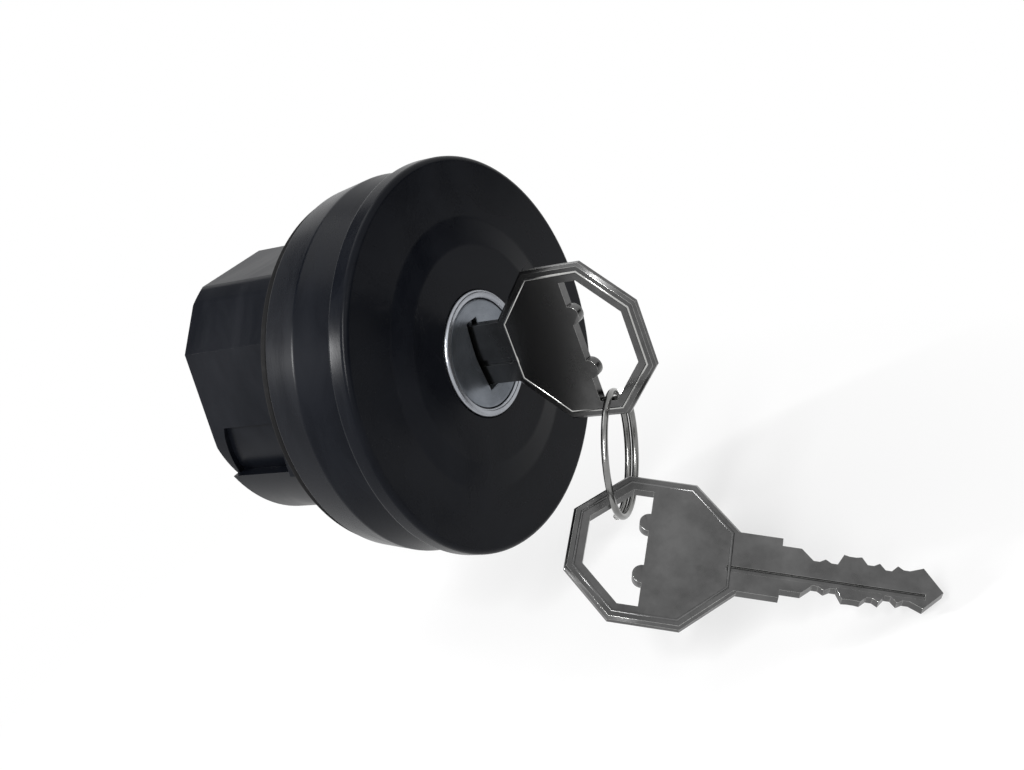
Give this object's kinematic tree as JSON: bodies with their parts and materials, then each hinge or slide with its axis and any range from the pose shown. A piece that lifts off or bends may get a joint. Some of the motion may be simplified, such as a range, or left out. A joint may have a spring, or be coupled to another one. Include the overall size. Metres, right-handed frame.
{
  "type": "fuel filler cap",
  "caption": "Locking fuel filler cap: free-turning cover with a key lock, flatted neck insert with a vent valve, and a spare key on a split ring.",
  "frame": {"origin": "centre of the gasket's seal plane, on the cap's axis", "axes": "+Y along the cap's axis into the filler neck, -Y out to the cover and the key, +Z along the upright key slot, +X to the right when facing the cover"},
  "size_m": [0.0704, 0.1207, 0.0881],
  "materials": {
    "black_body": "satin moulded nylon, fine grain",
    "cover_plastic": "satin moulded nylon, smoother than the body",
    "gasket_rubber": "matt nitrile",
    "bezel_chrome": "bright polished ring",
    "face_steel": "satin pressed stainless",
    "zinc_cast": "die-cast zinc",
    "wafer_brass": "stamped brass",
    "spring_steel": "drawn wire",
    "key_nickel": "nickel-plated, satin with bright edges",
    "ring_steel": "nickel-plated spring steel",
    "acetal_white": "natural acetal",
    "screw_steel": "zinc-plated"
  },
  "bodies": {
    "neck_insert": {"cap_body": "black_body", "gasket": "gasket_rubber", "end_plate": "black_body", "spring_retainer": "acetal_white", "relief_spring": "spring_steel"},
    "cover_group": {"cover": "cover_plastic", "bezel_ring": "bezel_chrome", "lock_housing": "zinc_cast", "housing_pin": "spring_steel", "clutch_carrier": "acetal_white", "carrier_screws": "screw_steel"},
    "plug_group": {"lock_plug": "zinc_cast", "plug_face": "face_steel", "dust_shutter": "face_steel", "shutter_spring": "spring_steel", "plug_clip": "spring_steel", "drive_cam": "zinc_cast", "key": "key_nickel", "wafer_1": "wafer_brass", "wafer_2": "wafer_brass", "wafer_3": "wafer_brass", "wafer_4": "wafer_brass", "wafer_5": "wafer_brass", "wafer_6": "wafer_brass", "wafer_spring_1": "spring_steel", "wafer_spring_2": "spring_steel", "wafer_spring_3": "spring_steel", "wafer_spring_4": "spring_steel", "wafer_spring_5": "spring_steel", "wafer_spring_6": "spring_steel"},
    "upper_bolt": {"upper_clutch_bolt": "zinc_cast"},
    "lower_bolt": {"lower_clutch_bolt": "zinc_cast"},
    "ring": {"split_ring": "ring_steel"},
    "spare": {"spare_key": "key_nickel"},
    "relief_group": {"relief_plunger": "acetal_white", "relief_seal": "gasket_rubber", "vacuum_spring": "spring_steel"},
    "vacuum_group": {"vacuum_poppet": "acetal_white"}
  },
  "joints": [
    {"name": "cover_spin", "type": "hinge", "parent": "neck_insert", "child": "cover_group", "pos_m": [0, 0, 0], "axis": [0, 1, 0], "continuous": true},
    {"name": "key_turn", "type": "hinge", "parent": "cover_group", "child": "plug_group", "pos_m": [0, -0.01, 0], "axis": [0, 1, 0], "range_deg": [0, 90]},
    {"name": "upper_bolt_slide", "type": "slide", "parent": "cover_group", "child": "upper_bolt", "axis": [0, 0, 1], "range_m": [0, 0.002]},
    {"name": "lower_bolt_slide", "type": "slide", "parent": "cover_group", "child": "lower_bolt", "axis": [0, 0, -1], "range_m": [0, 0.002]},
    {"name": "ring_swing", "type": "hinge", "parent": "plug_group", "child": "ring", "pos_m": [0, -0.04553, -0.01255], "axis": [0, 1, 0], "range_deg": [-45, 45]},
    {"name": "spare_key_swing", "type": "hinge", "parent": "ring", "child": "spare", "pos_m": [-0.01028, -0.04468, -0.02486], "axis": [0.8722, -0.489, 0.0156], "range_deg": [-80, 60]},
    {"name": "relief_valve", "type": "slide", "parent": "neck_insert", "child": "relief_group", "axis": [0, -1, 0], "range_m": [0, 0.0015], "stiffness_N_per_m": 300, "springref_m": -0.002, "deforming": ["relief_spring"]},
    {"name": "vacuum_valve", "type": "slide", "parent": "relief_group", "child": "vacuum_group", "axis": [0, 1, 0], "range_m": [0, 0.0008], "stiffness_N_per_m": 60, "springref_m": -0.001, "deforming": ["vacuum_spring"]}
  ],
  "couplings": [
    {"joint": "upper_bolt_slide", "follows": "key_turn", "m_per_rad": 0.0012732},
    {"joint": "lower_bolt_slide", "follows": "key_turn", "m_per_rad": 0.0012732}
  ]
}
